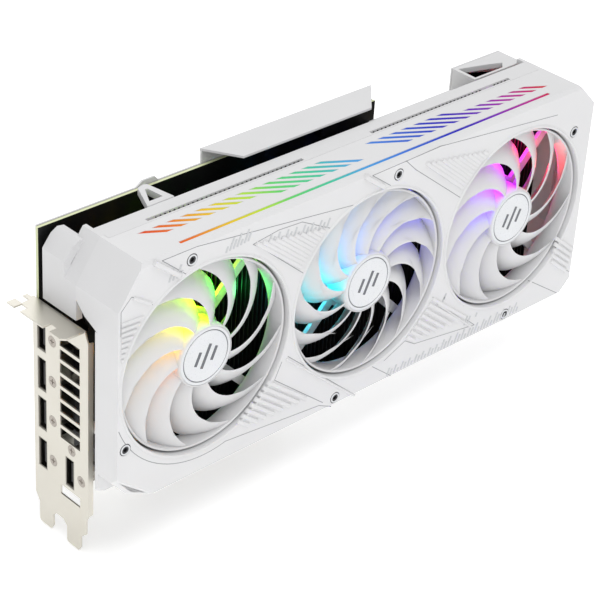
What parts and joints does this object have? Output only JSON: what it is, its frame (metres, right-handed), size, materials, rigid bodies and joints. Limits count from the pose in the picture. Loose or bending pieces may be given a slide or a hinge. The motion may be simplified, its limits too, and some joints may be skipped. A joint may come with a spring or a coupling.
{
  "type": "graphics card",
  "caption": "White graphics card with a row of fans in a faceted shroud, slot bracket, edge connector, finned heatsink and a lit bar along its top edge.",
  "frame": {"origin": "on the outer face of the slot bracket, level with the bottom of the edge connector and in line with the board's component side", "axes": "+X runs along the card away from the bracket, the fans face -Y, +Z points from the edge connector up to the lit top edge"},
  "size_m": [0.3299, 0.0606, 0.1621],
  "materials": {
    "white_plastic": "satin white moulding",
    "white_metal": "white powder coat",
    "badge_silver": "satin pearl white",
    "bracket_metal": "brushed",
    "screw_steel": "zinc and black oxide",
    "socket_shell": "nickel plate",
    "black_plastic": "matt",
    "fin_aluminium": "rolled sheet",
    "nickel_copper": "nickel plate",
    "board_laminate": "black solder mask",
    "gold": "gold plate",
    "light_diffuser": "translucent",
    "chip_package": "green substrate",
    "silicon": "polished",
    "spring_steel": "black",
    "choke_grey": "moulded",
    "capacitor_can": "satin",
    "motor_magnet": "matt",
    "copper_wire": "enamelled",
    "bronze": "sintered",
    "slider_grey": "satin"
  },
  "bodies": {
    "card": {"backplate": "white_metal", "capacitors": "capacitor_can", "chip_retainer": "spring_steel", "circuit_board": "board_laminate", "cold_plate": "nickel_copper", "displayport_shell_1": "socket_shell", "displayport_shell_2": "socket_shell", "displayport_shell_3": "socket_shell", "displayport_tongue_1": "black_plastic", "displayport_tongue_2": "black_plastic", "displayport_tongue_3": "black_plastic", "edge_contacts": "gold", "end_cover": "white_metal", "fan_bearing_1": "bronze", "fan_bearing_2": "bronze", "fan_bearing_3": "bronze", "fan_coil_1": "copper_wire", "fan_coil_2": "copper_wire", "fan_coil_3": "copper_wire", "fan_mount_1": "white_plastic", "fan_mount_2": "white_plastic", "fan_mount_3": "white_plastic", "fan_shroud": "white_plastic", "fin_stack_far": "fin_aluminium", "fin_stack_near": "fin_aluminium", "gpu_die": "silicon", "gpu_package": "chip_package", "hdmi_shell_1": "socket_shell", "hdmi_shell_2": "socket_shell", "hdmi_tongue_1": "black_plastic", "hdmi_tongue_2": "black_plastic", "heat_pipes": "nickel_copper", "io_bracket": "bracket_metal", "light_bar": "light_diffuser", "light_strip_board": "board_laminate", "memory_chips": "black_plastic", "mid_frame": "white_metal", "port_screws": "screw_steel", "power_chokes": "choke_grey", "power_drivers": "black_plastic", "power_pins": "gold", "power_socket_1": "white_plastic", "power_socket_2": "white_plastic", "power_socket_3": "white_plastic", "retainer_screws": "screw_steel", "selector_body": "black_plastic", "shroud_screws": "screw_steel"},
    "fan_1": {"fan_rotor_1": "white_plastic", "fan_badge_1": "badge_silver", "fan_magnet_1": "motor_magnet", "fan_shaft_1": "screw_steel"},
    "fan_2": {"fan_rotor_2": "white_plastic", "fan_badge_2": "badge_silver", "fan_magnet_2": "motor_magnet", "fan_shaft_2": "screw_steel"},
    "fan_3": {"fan_rotor_3": "white_plastic", "fan_badge_3": "badge_silver", "fan_magnet_3": "motor_magnet", "fan_shaft_3": "screw_steel"},
    "selector": {"selector_slider": "slider_grey"}
  },
  "joints": [
    {"name": "fan_1_spin", "type": "hinge", "parent": "card", "child": "fan_1", "pos_m": [0.051, -0.048, 0.0822], "axis": [0, 1, 0], "continuous": true},
    {"name": "fan_2_spin", "type": "hinge", "parent": "card", "child": "fan_2", "pos_m": [0.1507, -0.048, 0.0822], "axis": [0, 1, 0], "continuous": true},
    {"name": "fan_3_spin", "type": "hinge", "parent": "card", "child": "fan_3", "pos_m": [0.2504, -0.048, 0.0822], "axis": [0, 1, 0], "continuous": true},
    {"name": "selector_slide", "type": "slide", "parent": "card", "child": "selector", "axis": [1, 0, 0], "range_m": [0, 0.002]}
  ]
}
